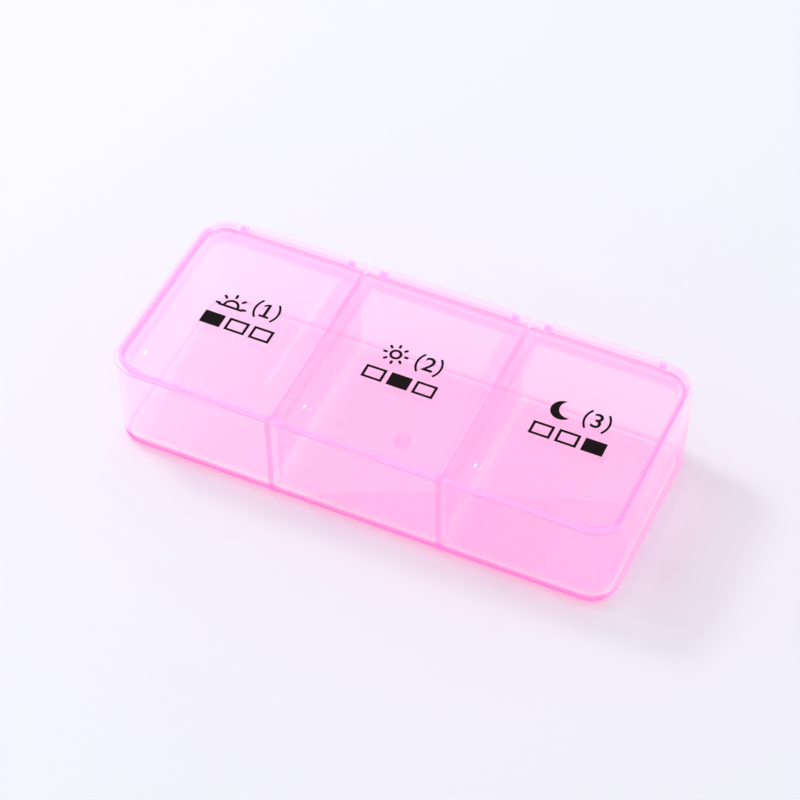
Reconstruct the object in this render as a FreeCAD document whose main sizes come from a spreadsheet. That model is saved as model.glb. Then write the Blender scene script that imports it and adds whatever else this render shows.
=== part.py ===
import FreeCAD, Part
import math
import os
import Sketcher

# Daily pill organizer: one moulded tray with three compartments in a row, and
# three lids that swing on pins moulded with their hinge barrels.
# Origin at the centre of the flat base, +X along the length, +Y to the hinge
# side and +Z up. Millimetres and degrees.

SIZES = [
    ("tray_length", 100.0, "over the rim, along X"),
    ("tray_width", 43.0, "over the rim, along Y"),
    ("tray_height", 20.0, "base to top of rim"),
    ("corner_radius", 6.0, "outer corners of the rim, seen from above"),
    ("outer_draft", 1.5, "angle of the outer walls, so that the tray leaves its mould"),
    ("base_round", 1.3, "outer edge round the base"),
    ("rim_wall", 1.2, "wall round the lids, above the ledge"),
    ("side_wall", 1.7, "wall at the ledge, below the lids"),
    ("rim_round", 0.3, "outer edge of the rim's top"),
    ("rim_chamfer", 0.2, "inner edge of the rim's top"),
    ("floor_thickness", 1.3, "under the compartments"),
    ("floor_round", 0.9, "where a compartment's walls meet its floor"),
    ("pocket_radius", 1.2, "upright corners of a compartment at a divider"),
    ("divider_pitch", 33.3, "between the middles of the two dividers"),
    ("divider_thickness", 1.0, "at the top"),
    ("lid_thickness", 1.1, "plate of a lid"),
    ("lid_clearance", 0.2, "between a lid's edge and the rim"),
    ("lid_seat_gap", 0.08, "between a shut lid and the ledge"),
    ("seam_gap", 0.3, "between neighbouring lids"),
    ("lid_corner", 0.5, "lid corners beside a seam"),
    ("lid_chamfer", 0.25, "top edge of a lid"),
    ("panel_inset", 3.5, "lid edge to foot of the raised panel"),
    ("panel_height", 0.6, "raised panel above the lid plate"),
    ("panel_radius", 2.6, "corners of the raised panel"),
    ("panel_slope", 40.0, "angle of the panel's sides from upright"),
    ("panel_wall", 0.9, "side wall of the raised panel"),
    ("skirt_clearance", 0.3, "between a lid's skirt and the compartment wall"),
    ("skirt_wall", 0.8, "thickness of the skirt"),
    ("skirt_depth", 2.0, "skirt below the lid plate"),
    ("bead_length", 9.0, "snap bead on the front of the skirt"),
    ("bead_radius", 0.35, "round of the snap bead"),
    ("bead_reach", 0.16, "snap bead beyond the skirt"),
    ("lip_width", 8.8, "thumb lip on the front of a lid"),
    ("lip_lift", 0.25, "underside of the thumb lip above the underside of the plate"),
    ("lip_edge", 0.45, "thumb lip at its ends"),
    ("lip_step", 0.2, "thumb lip below the lid's top"),
    ("lip_reach", 0.35, "thumb lip beyond the tray's front"),
    ("lip_chamfer", 0.15, "front edges of the thumb lip"),
    ("lip_clearance", 0.2, "between the thumb lip and its notch"),
    ("axis_inset", 0.6, "hinge axis inside the tray's back"),
    ("axis_drop", 0.45, "hinge axis below the rim's top"),
    ("barrel_radius", 1.25, "hinge barrel of a lid"),
    ("barrel_clearance", 0.2, "between a barrel and the trough under it"),
    ("barrel_side_gap", 0.2, "between a barrel's end and the ear beside it"),
    ("pin_radius", 0.5, "hinge pin, moulded with the lid"),
    ("pin_length", 1.2, "pin beyond the barrel's end"),
    ("pin_clearance", 0.05, "between a pin and its hole, on the radius"),
    ("pin_end_gap", 0.2, "between a pin's end and the bottom of its hole"),
    ("ear_radius", 0.95, "ear round the hinge axis"),
    ("ear_width", 3.2, "ear beside a divider"),
    ("end_ear_width", 2.1, "ear beside a corner"),
    ("ear_gap", 1.2, "between the two ears at a divider"),
    ("ear_foot", 3.4, "rim top to where an ear runs out on the back wall"),
    ("ear_sink", 0.4, "ear's foot inside the back wall"),
    ("ear_gap_foot", 0.4, "width of that gap at the ledge"),
    ("ear_lid_gap", 0.15, "between an ear and the back edge of a lid"),
]

# Positions that several features share, as expressions of the sheet
HALF_LENGTH = "(Sizes.tray_length / 2)"
HALF_WIDTH = "(Sizes.tray_width / 2)"
RIM_TOP = "Sizes.tray_height"
PLATE_UNDER = "(Sizes.tray_height - Sizes.lid_thickness)"
LEDGE = "(Sizes.tray_height - Sizes.lid_thickness - Sizes.lid_seat_gap)"
DIVIDER = "(Sizes.divider_pitch / 2)"
AXIS_Y = "(Sizes.tray_width / 2 - Sizes.axis_inset)"
AXIS_Z = "(Sizes.tray_height - Sizes.axis_drop)"

PLATE_END = "(Sizes.tray_length / 2 - Sizes.rim_wall - Sizes.lid_clearance)"
PLATE_SEAM_MIDDLE = "(Sizes.divider_pitch / 2 - Sizes.seam_gap / 2)"
PLATE_SEAM_END = "(Sizes.divider_pitch / 2 + Sizes.seam_gap / 2)"
PLATE_FRONT = "(-Sizes.tray_width / 2 + Sizes.rim_wall + Sizes.lid_clearance)"
PLATE_BACK = "(Sizes.tray_width / 2 - Sizes.axis_inset - Sizes.ear_radius - Sizes.ear_lid_gap)"
PLATE_RADIUS = "(Sizes.corner_radius - Sizes.rim_wall - Sizes.lid_clearance)"

WALL_END = "(Sizes.tray_length / 2 - Sizes.side_wall)"
WALL_SIDE = "(Sizes.tray_width / 2 - Sizes.side_wall)"
WALL_RADIUS = "(Sizes.corner_radius - Sizes.side_wall)"
DIVIDER_FACE_MIDDLE = "(Sizes.divider_pitch / 2 - Sizes.divider_thickness / 2)"
DIVIDER_FACE_END = "(Sizes.divider_pitch / 2 + Sizes.divider_thickness / 2)"

EAR_MIDDLE = "(Sizes.divider_pitch / 2 - Sizes.ear_gap / 2 - Sizes.ear_width)"
EAR_SEAM_MIDDLE = "(Sizes.divider_pitch / 2 - Sizes.ear_gap / 2)"
EAR_SEAM_END = "(Sizes.divider_pitch / 2 + Sizes.ear_gap / 2)"
EAR_END = "(Sizes.divider_pitch / 2 + Sizes.ear_gap / 2 + Sizes.ear_width)"
CORNER_START = "(Sizes.tray_length / 2 - Sizes.corner_radius)"
END_EAR = "(Sizes.tray_length / 2 - Sizes.corner_radius - Sizes.end_ear_width)"
LIP_DEPTH = "(Sizes.lid_thickness - Sizes.lip_step - Sizes.lip_lift)"
END_LIP = "((Sizes.divider_pitch / 2 + Sizes.tray_length / 2 - Sizes.corner_radius) / 2)"


def minus(expression):
    return "(-1 * " + expression + ")"


# Where each compartment, lid and hinge lies along X
BAYS = {
    "left": {
        "plate": (minus(PLATE_END), minus(PLATE_SEAM_END)),
        "pocket": (minus(WALL_END), minus(DIVIDER_FACE_END)),
        "hinge": (minus(END_EAR), minus(EAR_END)),
        "lip": minus(END_LIP),
        "round_corners": "left",
    },
    "middle": {
        "plate": (minus(PLATE_SEAM_MIDDLE), PLATE_SEAM_MIDDLE),
        "pocket": (minus(DIVIDER_FACE_MIDDLE), DIVIDER_FACE_MIDDLE),
        "hinge": (minus(EAR_MIDDLE), EAR_MIDDLE),
        "lip": "0",
        "round_corners": "none",
    },
    "right": {
        "plate": (PLATE_SEAM_END, PLATE_END),
        "pocket": (DIVIDER_FACE_END, WALL_END),
        "hinge": (EAR_END, END_EAR),
        "lip": END_LIP,
        "round_corners": "right",
    },
}


def make_sheet(document):
    sheet = document.addObject("Spreadsheet::Sheet", "Sizes")
    for row, (alias, value, note) in enumerate(SIZES, start=1):
        sheet.set("A%d" % row, alias)
        sheet.set("B%d" % row, str(value))
        sheet.setAlias("B%d" % row, alias)
        sheet.set("C%d" % row, note)
    document.recompute()
    return sheet


def make_body(document, name):
    body = document.addObject("PartDesign::Body", name)
    body.Label = name
    body.Placement = FreeCAD.Placement()
    return body


def make_sketch(body, name, role, offset):
    """A sketch on one of the body's own origin planes, moved along its normal."""
    plane = [item for item in body.Origin.OriginFeatures if item.Role == role][0]
    sketch = body.newObject("Sketcher::SketchObject", name)
    sketch.AttachmentSupport = [(plane, "")]
    sketch.MapMode = "FlatFace"
    sketch.setExpression("AttachmentOffset.Base.z", offset)
    return sketch


def bind(sketch, constraint, expression):
    """Add a constraint whose value follows an expression of the sheet."""
    value = float(sketch.evalExpression(expression))
    index = sketch.addConstraint(Sketcher.Constraint(*constraint, value))
    sketch.setExpression("Constraints[%d]" % index, expression)


def point_of(sketch, place):
    return FreeCAD.Vector(
        float(sketch.evalExpression(place[0])), float(sketch.evalExpression(place[1])), 0
    )


def draw_polygon(sketch, places):
    """Straight edges through places given as pairs of expressions."""
    points = [point_of(sketch, place) for place in places]
    count = len(points)
    first = sketch.GeometryCount
    for index in range(count):
        sketch.addGeometry(Part.LineSegment(points[index], points[(index + 1) % count]))
    for index in range(count):
        following = (index + 1) % count
        sketch.addConstraint(
            Sketcher.Constraint("Coincident", first + index, 2, first + following, 1)
        )
    for index, place in enumerate(places):
        bind(sketch, ("DistanceX", -1, 1, first + index, 1), place[0])
        bind(sketch, ("DistanceY", -1, 1, first + index, 1), place[1])


def draw_capped_path(sketch, centre, radius, places, start):
    """Straight edges, closed by a half circle that turns from the last place to the first."""
    points = [point_of(sketch, place) for place in places]
    for before, after in zip(points, points[1:]):
        sketch.addGeometry(Part.LineSegment(before, after))
    size_now = float(sketch.evalExpression(radius))
    circle = Part.Circle(point_of(sketch, centre), FreeCAD.Vector(0, 0, 1), size_now)
    arc = sketch.addGeometry(Part.ArcOfCircle(circle, start, start + math.pi))
    for index in range(arc - 1):
        sketch.addConstraint(Sketcher.Constraint("Coincident", index, 2, index + 1, 1))
        bind(sketch, ("DistanceX", -1, 1, index, 2), places[index + 1][0])
        bind(sketch, ("DistanceY", -1, 1, index, 2), places[index + 1][1])
    sketch.addConstraint(Sketcher.Constraint("Coincident", arc - 1, 2, arc, 1))
    sketch.addConstraint(Sketcher.Constraint("Coincident", arc, 2, 0, 1))
    bind(sketch, ("DistanceX", -1, 1, arc, 3), centre[0])
    bind(sketch, ("DistanceY", -1, 1, arc, 3), centre[1])
    bind(sketch, ("Radius", arc), radius)
    bind(sketch, ("DistanceY", -1, 1, arc, 1), centre[1])
    bind(sketch, ("DistanceY", -1, 1, arc, 2), centre[1])


def draw_circle(sketch, centre, radius):
    size = float(sketch.evalExpression(radius))
    circle = Part.Circle(point_of(sketch, centre), FreeCAD.Vector(0, 0, 1), size)
    index = sketch.addGeometry(circle)
    bind(sketch, ("DistanceX", -1, 1, index, 3), centre[0])
    bind(sketch, ("DistanceY", -1, 1, index, 3), centre[1])
    bind(sketch, ("Radius", index), radius)


def draw_rounded_rectangle(sketch, across, along, radii):
    """A rectangle with tangent arcs at its corners, and no arc where the radius is None.

    The radii start at the low corner and go round with the axes' turn.
    """
    low = point_of(sketch, (across[0], along[0]))
    high = point_of(sketch, (across[1], along[1]))
    corners = [low, FreeCAD.Vector(high.x, low.y, 0), high, FreeCAD.Vector(low.x, high.y, 0)]
    turns = [FreeCAD.Vector(1, 0, 0), FreeCAD.Vector(0, 1, 0)]
    turns += [-turns[0], -turns[1]]
    sizes = [float(sketch.evalExpression(radius)) if radius else 0 for radius in radii]
    sides = []
    for side in range(4):
        start = corners[side] + turns[side] * sizes[side]
        end = corners[(side + 1) % 4] - turns[side] * sizes[(side + 1) % 4]
        sides.append(sketch.addGeometry(Part.LineSegment(start, end)))
    for corner in range(4):
        before = sides[corner - 1]
        after = sides[corner]
        if not radii[corner]:
            sketch.addConstraint(Sketcher.Constraint("Coincident", before, 2, after, 1))
            continue
        inward = turns[corner] - turns[corner - 1]
        centre = corners[corner] + inward * sizes[corner]
        circle = Part.Circle(centre, FreeCAD.Vector(0, 0, 1), sizes[corner])
        begin = math.pi / 2 * (corner - 2)
        arc = sketch.addGeometry(Part.ArcOfCircle(circle, begin, begin + math.pi / 2))
        sketch.addConstraint(Sketcher.Constraint("Tangent", before, 2, arc, 1))
        sketch.addConstraint(Sketcher.Constraint("Tangent", arc, 2, after, 1))
        bind(sketch, ("Radius", arc), radii[corner])
    for side, direction in zip(sides, ("Horizontal", "Vertical", "Horizontal", "Vertical")):
        sketch.addConstraint(Sketcher.Constraint(direction, side))
    bind(sketch, ("DistanceY", -1, 1, sides[0], 1), along[0])
    bind(sketch, ("DistanceX", -1, 1, sides[1], 1), across[1])
    bind(sketch, ("DistanceY", -1, 1, sides[2], 1), along[1])
    bind(sketch, ("DistanceX", -1, 1, sides[3], 1), across[0])


def draw_lip(sketch, centre, half_width, top, shoulder, depth):
    """A flat top, two short sides and an arc below, as the front view of a thumb lip."""
    left = "(%s - %s)" % (centre, half_width)
    right = "(%s + %s)" % (centre, half_width)
    sag = "(%s - %s)" % (depth, shoulder)
    radius = "((%s * %s + %s * %s) / (2 * %s))" % (half_width, half_width, sag, sag, sag)
    low_left = point_of(sketch, (left, "(%s - %s)" % (top, shoulder)))
    low_right = point_of(sketch, (right, "(%s - %s)" % (top, shoulder)))
    bottom = point_of(sketch, (centre, "(%s - %s)" % (top, depth)))
    high_left = point_of(sketch, (left, top))
    high_right = point_of(sketch, (right, top))
    up = sketch.addGeometry(Part.LineSegment(low_right, high_right))
    across = sketch.addGeometry(Part.LineSegment(high_right, high_left))
    down = sketch.addGeometry(Part.LineSegment(high_left, low_left))
    arc = sketch.addGeometry(Part.Arc(low_left, bottom, low_right))
    for before, after in ((up, across), (across, down), (down, arc), (arc, up)):
        sketch.addConstraint(Sketcher.Constraint("Coincident", before, 2, after, 1))
    sketch.addConstraint(Sketcher.Constraint("Vertical", up))
    sketch.addConstraint(Sketcher.Constraint("Horizontal", across))
    sketch.addConstraint(Sketcher.Constraint("Vertical", down))
    bind(sketch, ("DistanceX", -1, 1, up, 1), right)
    bind(sketch, ("DistanceY", -1, 1, up, 1), "(%s - %s)" % (top, shoulder))
    bind(sketch, ("DistanceX", -1, 1, down, 1), left)
    bind(sketch, ("DistanceY", -1, 1, down, 1), top)
    bind(sketch, ("DistanceX", -1, 1, arc, 3), centre)
    bind(sketch, ("Radius", arc), radius)


def extrude(body, kind, name, sketch, length, taper=None, reverse=False, both_ways=False):
    """A pad or a pocket of a sketch; the solid has to grow or shrink by it."""
    document = body.Document
    before = body.Shape.Volume if body.Tip else 0.0
    feature = body.newObject("PartDesign::" + kind, name)
    feature.Profile = sketch
    feature.Reversed = reverse
    if both_ways:
        feature.SideType = "Symmetric"
    feature.setExpression("Length", length)
    if taper:
        feature.setExpression("TaperAngle", taper)
    sketch.Visibility = False
    document.recompute()
    change = body.Shape.Volume - before
    if (kind == "Pad") != (change > 0) or abs(change) < 1e-6:
        raise RuntimeError("%s of %s changed its volume by %.4f" % (name, body.Label, change))
    return feature


def soften_edges(body, kind, name, chosen, width):
    """A fillet or a chamfer along the edges of the body that a test picks out."""
    base = body.Tip
    edges = []
    for index, edge in enumerate(base.Shape.Edges, start=1):
        if chosen(edge):
            edges.append("Edge%d" % index)
    if not edges:
        raise RuntimeError("no edges for %s of %s" % (name, body.Label))
    feature = body.newObject("PartDesign::" + kind, name)
    feature.Base = (base, edges)
    feature.setExpression("Radius" if kind == "Fillet" else "Size", width)
    body.Document.recompute()
    if "Invalid" in feature.State:
        raise RuntimeError("%s of %s can't be made" % (name, body.Label))
    return feature


def size(sheet, name):
    return float(getattr(sheet, name))


def lies_at(edge, height):
    box = edge.BoundBox
    return abs(box.ZMin - height) < 0.01 and abs(box.ZMax - height) < 0.01


def corner_radii(layout, rounded, plain):
    """Radii round a bay's outline: rounded at the tray's own corners, plain at a divider."""
    return {
        "left": [rounded, plain, plain, rounded],
        "right": [plain, rounded, rounded, plain],
        "none": [plain] * 4,
    }[layout["round_corners"]]


# The tray

def build_tray(document, sheet):
    body = make_body(document, "tray")
    add_tray_shell(body, sheet)
    add_compartments(body, sheet)
    add_lip_notches(body)
    add_ear_rail(body)
    cut_hinge_troughs(body)
    drill_pin_holes(body)
    part_the_ears(body)
    return body


def add_tray_shell(body, sheet):
    """The drafted outer block, its rounded base, and the shallow recess for the lids."""
    across = (minus(HALF_LENGTH), HALF_LENGTH)
    along = (minus(HALF_WIDTH), HALF_WIDTH)
    outline = make_sketch(body, "tray_outline", "XY_Plane", RIM_TOP)
    draw_rounded_rectangle(outline, across, along, ["Sizes.corner_radius"] * 4)
    extrude(
        body, "Pad", "tray_block", outline, "Sizes.tray_height",
        taper="-1 * Sizes.outer_draft", reverse=True,
    )
    soften_edges(body, "Fillet", "base_edge", lambda edge: lies_at(edge, 0), "Sizes.base_round")
    rim_top = size(sheet, "tray_height")
    soften_edges(
        body, "Fillet", "outer_rim_edge", lambda edge: lies_at(edge, rim_top), "Sizes.rim_round"
    )

    inner_end = "(%s - Sizes.rim_wall)" % HALF_LENGTH
    inner_side = "(%s - Sizes.rim_wall)" % HALF_WIDTH
    recess = make_sketch(body, "lid_recess_outline", "XY_Plane", RIM_TOP)
    draw_rounded_rectangle(
        recess, (minus(inner_end), inner_end), (minus(inner_side), inner_side),
        ["Sizes.corner_radius - Sizes.rim_wall"] * 4,
    )
    extrude(
        body, "Pocket", "lid_recess", recess, "Sizes.lid_thickness + Sizes.lid_seat_gap"
    )
    inside = size(sheet, "tray_width") / 2 - size(sheet, "rim_wall") + 0.01

    def on_inner_rim(edge):
        return lies_at(edge, rim_top) and edge.BoundBox.YMax < inside and edge.BoundBox.YMin > -inside

    soften_edges(body, "Chamfer", "inner_rim_edge", on_inner_rim, "Sizes.rim_chamfer")


def add_compartments(body, sheet):
    """Three pockets that leave the ledge, the walls and the two dividers."""
    for bay, layout in BAYS.items():
        radii = corner_radii(layout, WALL_RADIUS, "Sizes.pocket_radius")
        outline = make_sketch(body, bay + "_compartment_outline", "XY_Plane", LEDGE)
        draw_rounded_rectangle(outline, layout["pocket"], (minus(WALL_SIDE), WALL_SIDE), radii)
        extrude(
            body, "Pocket", bay + "_compartment", outline,
            LEDGE + " - Sizes.floor_thickness",
        )
    floor = size(sheet, "floor_thickness")
    soften_edges(body, "Fillet", "floor_edges", lambda edge: lies_at(edge, floor), "Sizes.floor_round")


def add_lip_notches(body):
    """A shallow notch in the front rim for each lid's thumb lip."""
    outside = "(%s + Sizes.lip_reach)" % HALF_WIDTH
    sketch = make_sketch(body, "lip_notches_outline", "XZ_Plane", outside)
    for layout in BAYS.values():
        draw_lip(
            sketch, layout["lip"], "(Sizes.lip_width / 2 + Sizes.lip_clearance)",
            "(Sizes.tray_height + Sizes.lip_clearance)",
            "(Sizes.lip_step + Sizes.lip_edge + 2 * Sizes.lip_clearance)",
            "(Sizes.lip_step + %s + 2 * Sizes.lip_clearance)" % LIP_DEPTH,
        )
    extrude(
        body, "Pocket", "lip_notches", sketch,
        "Sizes.lip_reach + Sizes.rim_wall + Sizes.lid_clearance / 2",
    )


def add_ear_rail(body):
    """A knuckled rail on the back rim, out of which the ears are cut."""
    inner = "(%s - Sizes.ear_radius)" % AXIS_Y
    outer = "(%s + Sizes.ear_radius)" % AXIS_Y
    wall_middle = "(%s - Sizes.side_wall / 2)" % HALF_WIDTH
    sunk = "(%s - Sizes.ear_sink)" % HALF_WIDTH
    foot = "(Sizes.tray_height - Sizes.ear_foot)"
    rail = make_sketch(body, "ear_rail_outline", "YZ_Plane", "0")
    draw_capped_path(
        rail, (AXIS_Y, AXIS_Z), "Sizes.ear_radius",
        [(inner, AXIS_Z), (inner, LEDGE), (wall_middle, foot), (sunk, foot), (outer, AXIS_Z)],
        0,
    )
    extrude(body, "Pad", "ear_rail", rail, "2 * " + CORNER_START, both_ways=True)


def cut_hinge_troughs(body):
    """The rail and the wall are lowered under each barrel, with a round trough to clear it."""
    radius = "(Sizes.barrel_radius + Sizes.barrel_clearance)"
    front = "(%s - %s)" % (AXIS_Y, radius)
    back = "(%s + %s)" % (AXIS_Y, radius)
    above = "(Sizes.tray_height + Sizes.barrel_radius)"
    for bay, layout in BAYS.items():
        start, end = layout["hinge"]
        trough = make_sketch(body, bay + "_hinge_trough_outline", "YZ_Plane", end)
        draw_capped_path(
            trough, (AXIS_Y, AXIS_Z), radius,
            [(back, AXIS_Z), (back, above), (front, above), (front, AXIS_Z)],
            math.pi,
        )
        extrude(body, "Pocket", bay + "_hinge_trough", trough, "(%s - %s)" % (end, start))


def drill_pin_holes(body):
    """Blind holes in the two ears of each barrel, drilled in line."""
    depth = "(Sizes.pin_length + Sizes.pin_end_gap - Sizes.barrel_side_gap)"
    for bay, layout in BAYS.items():
        start, end = layout["hinge"]
        middle = "((%s + %s) / 2)" % (start, end)
        sketch = make_sketch(body, bay + "_pin_holes_outline", "YZ_Plane", middle)
        draw_circle(sketch, (AXIS_Y, AXIS_Z), "(Sizes.pin_radius + Sizes.pin_clearance)")
        extrude(
            body, "Pocket", bay + "_pin_holes", sketch,
            "(%s - %s + 2 * %s)" % (end, start, depth), both_ways=True,
        )


def part_the_ears(body):
    """A tapering gap through the back rim between the two ears at each divider."""
    outside = "(-1 * (%s + Sizes.ear_radius))" % HALF_WIDTH
    top = "(Sizes.tray_height + Sizes.ear_radius)"
    sketch = make_sketch(body, "ear_gaps_outline", "XZ_Plane", outside)
    for middle in (minus(DIVIDER), DIVIDER):
        draw_polygon(
            sketch,
            [
                ("(%s - Sizes.ear_gap_foot / 2)" % middle, LEDGE),
                ("(%s + Sizes.ear_gap_foot / 2)" % middle, LEDGE),
                ("(%s + Sizes.ear_gap / 2)" % middle, RIM_TOP),
                ("(%s + Sizes.ear_gap / 2)" % middle, top),
                ("(%s - Sizes.ear_gap / 2)" % middle, top),
                ("(%s - Sizes.ear_gap / 2)" % middle, RIM_TOP),
            ],
        )
    extrude(
        body, "Pocket", "ear_gaps", sketch, "Sizes.ear_radius + Sizes.side_wall", reverse=True
    )


# The lids

def build_lid(document, sheet, bay):
    body = make_body(document, bay + "_lid")
    layout = BAYS[bay]
    add_plate(body, sheet, layout)
    add_skirt(body, layout)
    add_panel(body, layout)
    add_thumb_lip(body, sheet, layout)
    add_snap_bead(body, layout)
    add_barrel(body, layout)
    return body


def add_plate(body, sheet, layout):
    """The flat plate, with its top edge softened."""
    outline = make_sketch(body, "plate_outline", "XY_Plane", PLATE_UNDER)
    draw_rounded_rectangle(
        outline, layout["plate"], (PLATE_FRONT, PLATE_BACK),
        corner_radii(layout, PLATE_RADIUS, "Sizes.lid_corner"),
    )
    extrude(body, "Pad", "plate", outline, "Sizes.lid_thickness")
    top = size(sheet, "tray_height")
    soften_edges(body, "Chamfer", "plate_edge", lambda edge: lies_at(edge, top), "Sizes.lid_chamfer")


def add_skirt(body, layout):
    """The ring under the plate that drops inside the compartment."""
    start, end = layout["pocket"]
    gap = "Sizes.skirt_clearance"
    outer_corner = "(Sizes.pocket_radius - %s)" % gap
    rings = make_sketch(body, "skirt_outline", "XY_Plane", PLATE_UNDER)
    for margin, corner in ((gap, outer_corner), ("(%s + Sizes.skirt_wall)" % gap, None)):
        radii = corner_radii(layout, "(%s - %s)" % (WALL_RADIUS, margin), corner)
        across = ("(%s + %s)" % (start, margin), "(%s - %s)" % (end, margin))
        reach = "(%s - %s)" % (WALL_SIDE, margin)
        draw_rounded_rectangle(rings, across, (minus(reach), reach), radii)
    extrude(body, "Pad", "skirt", rings, "Sizes.skirt_depth", reverse=True)


def add_panel(body, layout):
    """The raised panel with sloping sides, and the hollow that keeps its wall even."""
    start, end = layout["plate"]
    across = ("(%s + Sizes.panel_inset)" % start, "(%s - Sizes.panel_inset)" % end)
    along = ("(%s + Sizes.panel_inset)" % PLATE_FRONT, "(%s - Sizes.panel_inset)" % PLATE_BACK)
    outline = make_sketch(body, "panel_outline", "XY_Plane", RIM_TOP)
    draw_rounded_rectangle(outline, across, along, ["Sizes.panel_radius"] * 4)
    extrude(
        body, "Pad", "panel", outline, "Sizes.panel_height", taper="-1 * Sizes.panel_slope"
    )
    margin = "(Sizes.panel_inset + Sizes.panel_wall)"
    across = ("(%s + %s)" % (start, margin), "(%s - %s)" % (end, margin))
    along = ("(%s + %s)" % (PLATE_FRONT, margin), "(%s - %s)" % (PLATE_BACK, margin))
    hollow = make_sketch(body, "panel_hollow_outline", "XY_Plane", PLATE_UNDER)
    draw_rounded_rectangle(
        hollow, across, along, ["(Sizes.panel_radius - Sizes.panel_wall / 2)"] * 4
    )
    extrude(
        body, "Pocket", "panel_hollow", hollow, "Sizes.panel_height",
        taper="-1 * Sizes.panel_slope", reverse=True,
    )


def add_thumb_lip(body, sheet, layout):
    """The lip that fills the notch in the rim and stands a little proud of the front."""
    outside = "(%s + Sizes.lip_reach)" % HALF_WIDTH
    sketch = make_sketch(body, "lip_outline", "XZ_Plane", outside)
    draw_lip(
        sketch, layout["lip"], "(Sizes.lip_width / 2)",
        "(Sizes.tray_height - Sizes.lip_step)", "Sizes.lip_edge", LIP_DEPTH,
    )
    extrude(
        body, "Pad", "lip", sketch,
        "Sizes.lip_reach + Sizes.rim_wall + Sizes.lid_clearance + Sizes.lid_thickness / 2",
        reverse=True,
    )
    front = -size(sheet, "tray_width") / 2 - size(sheet, "lip_reach")

    def on_front(edge):
        box = edge.BoundBox
        return abs(box.YMin - front) < 0.01 and abs(box.YMax - front) < 0.01

    soften_edges(body, "Chamfer", "lip_edges", on_front, "Sizes.lip_chamfer")


def add_snap_bead(body, layout):
    """A low bead along the front of the skirt."""
    centre_y = "(-1 * (%s - Sizes.skirt_clearance + Sizes.bead_reach - Sizes.bead_radius))" % WALL_SIDE
    centre_z = "(%s - Sizes.skirt_depth / 2)" % PLATE_UNDER
    sketch = make_sketch(body, "snap_bead_outline", "YZ_Plane", layout["lip"])
    draw_circle(sketch, (centre_y, centre_z), "Sizes.bead_radius")
    extrude(body, "Pad", "snap_bead", sketch, "Sizes.bead_length", both_ways=True)


def add_barrel(body, layout):
    """The hinge barrel on the plate's back edge, and the pin through both its ends."""
    start, end = layout["hinge"]
    first = "(%s + Sizes.barrel_side_gap)" % start
    length = "(%s - %s - 2 * Sizes.barrel_side_gap)" % (end, start)
    neck = make_sketch(body, "barrel_neck_outline", "YZ_Plane", first)
    inner = "(%s - Sizes.lid_thickness)" % PLATE_BACK
    low = PLATE_UNDER
    high = "(%s - Sizes.lid_chamfer)" % RIM_TOP
    draw_polygon(neck, [(inner, low), (AXIS_Y, low), (AXIS_Y, high), (inner, high)])
    extrude(body, "Pad", "barrel_neck", neck, length)
    barrel = make_sketch(body, "barrel_outline", "YZ_Plane", first)
    draw_circle(barrel, (AXIS_Y, AXIS_Z), "Sizes.barrel_radius")
    extrude(body, "Pad", "barrel", barrel, length)
    pin = make_sketch(body, "pin_outline", "YZ_Plane", "(%s - Sizes.pin_length)" % first)
    draw_circle(pin, (AXIS_Y, AXIS_Z), "Sizes.pin_radius")
    extrude(body, "Pad", "pin", pin, "(%s + 2 * Sizes.pin_length)" % length)


# Building, checking and writing

def check(document, bodies):
    for item in document.Objects:
        if "Invalid" in item.State or "Error" in item.State:
            raise RuntimeError("%s has failed: %s" % (item.Name, item.State))
    for body in bodies:
        shape = body.Shape
        if shape.isNull() or not shape.isValid() or len(shape.Solids) != 1:
            raise RuntimeError(body.Label + " is not one valid solid")


def main():
    document = FreeCAD.newDocument("pill_organizer")
    sheet = make_sheet(document)
    bodies = [build_tray(document, sheet)]
    for bay in BAYS:
        bodies.append(build_lid(document, sheet, bay))
    document.recompute()
    check(document, bodies)
    os.makedirs("parts", exist_ok=True)
    for body in bodies:
        body.Shape.exportStep("parts/%s.step" % body.Label)
        print(body.Label, "volume %.1f" % body.Shape.Volume, body.Shape.BoundBox)


main()
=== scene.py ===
"""Daily pill organizer: plastic of the moulded tray and lids, print on the lids, and a photo stage.

Run as a script. Every length in this file is in metres, and every place is in the frame of the
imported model: origin at the middle of the base, X along the tray, Y towards the hinges, Z up.
"""

import math

import bmesh
import bpy
from mathutils import Matrix, Vector


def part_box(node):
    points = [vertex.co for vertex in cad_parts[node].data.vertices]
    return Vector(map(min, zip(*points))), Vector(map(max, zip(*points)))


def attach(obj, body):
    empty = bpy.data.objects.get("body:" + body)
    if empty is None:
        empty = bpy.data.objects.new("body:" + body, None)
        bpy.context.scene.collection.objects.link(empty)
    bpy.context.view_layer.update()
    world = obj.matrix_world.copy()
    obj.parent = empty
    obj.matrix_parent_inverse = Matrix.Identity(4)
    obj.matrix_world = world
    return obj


bl_info = {
    "name": "Daily Pill Organizer",
    "version": (1, 0, 0),
    "blender": (4, 5, 0),
    "location": "View3D > Sidebar > Pill Organizer",
    "description": "Finishes the moulded pill organizer, prints its lids and sets up a photo stage",
    "category": "Object",
}

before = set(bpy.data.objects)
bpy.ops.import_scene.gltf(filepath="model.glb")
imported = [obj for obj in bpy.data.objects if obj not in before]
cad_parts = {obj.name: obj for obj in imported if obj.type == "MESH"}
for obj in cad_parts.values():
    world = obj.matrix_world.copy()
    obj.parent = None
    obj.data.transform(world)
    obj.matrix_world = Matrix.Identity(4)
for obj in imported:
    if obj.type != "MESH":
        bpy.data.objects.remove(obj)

LIDS = ("left_lid", "middle_lid", "right_lid")
HOURS = {"left_lid": "sunrise", "middle_lid": "noon", "right_lid": "night"}
MM = 0.001

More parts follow.
